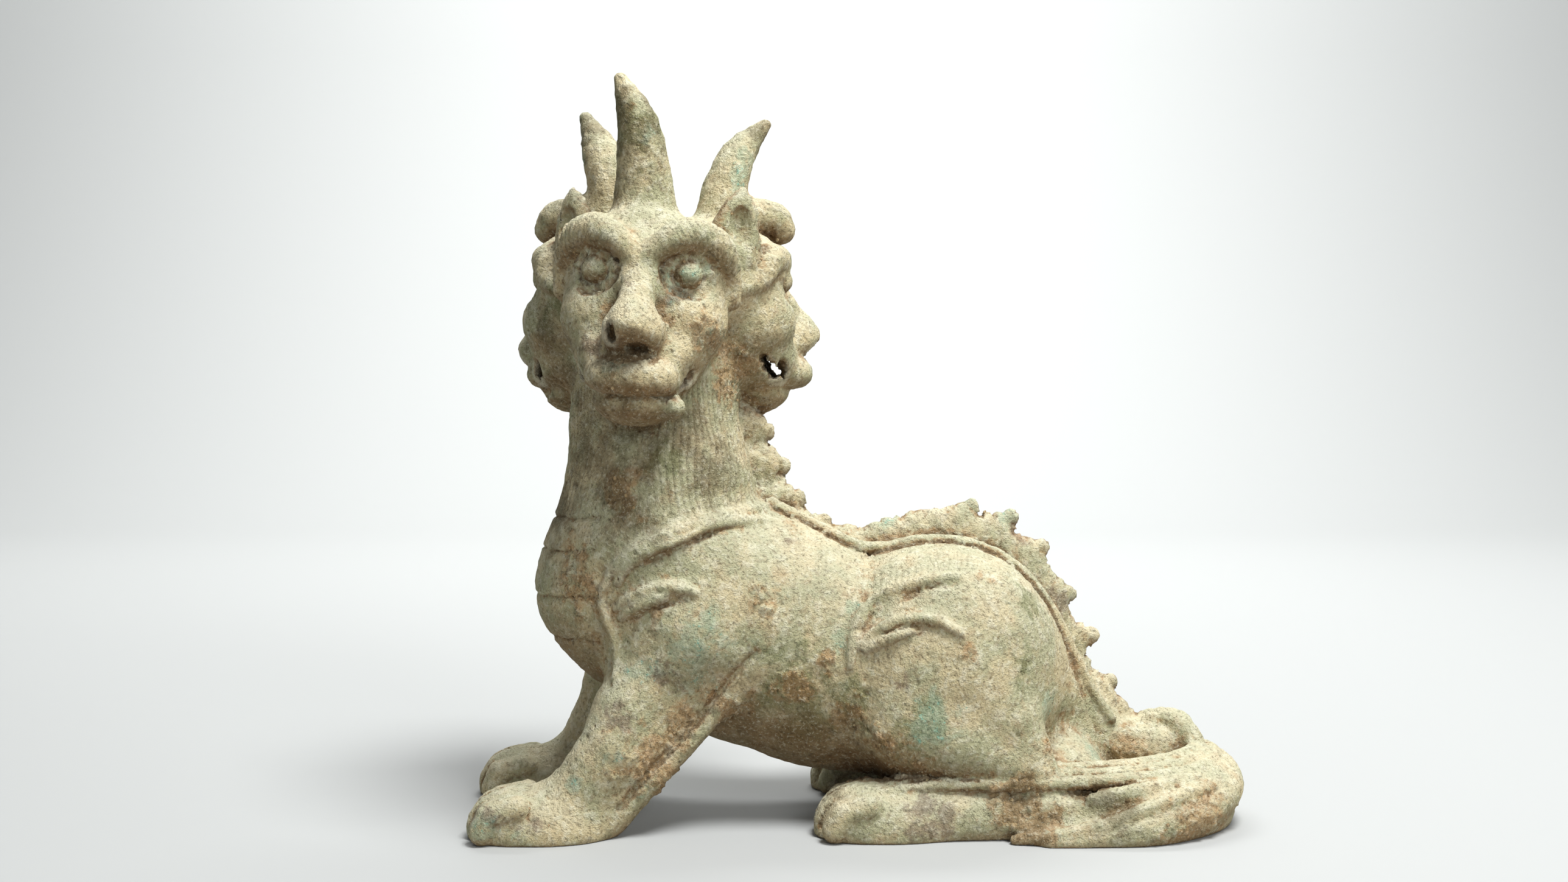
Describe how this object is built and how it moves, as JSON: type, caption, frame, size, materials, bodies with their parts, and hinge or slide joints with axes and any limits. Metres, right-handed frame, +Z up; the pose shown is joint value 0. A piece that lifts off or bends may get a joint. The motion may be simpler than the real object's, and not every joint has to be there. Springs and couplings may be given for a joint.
{
  "type": "xiezhi statue",
  "caption": "Cast bronze guardian beast: horned heads round one neck, a toothed crest down the back, braced forelegs, crouched haunches and a ribbed tail curled along one side.",
  "frame": {"origin": "middle of the statue's length and width, on the ground it stands on", "axes": "+X from the heads back to the tail, along the beast's length; -Y towards the side that the tail is curled along; +Z up"},
  "size_m": [0.3016, 0.1308, 0.2807],
  "materials": {
    "patinated_bronze": "old cast bronze under a dull, earth-crusted patina: pale beige green, with olive and turquoise patches, brown earth in the hollows and dark horn tips"
  },
  "bodies": {
    "root": {"xiezhi_statue": "patinated_bronze"}
  },
  "joints": []
}
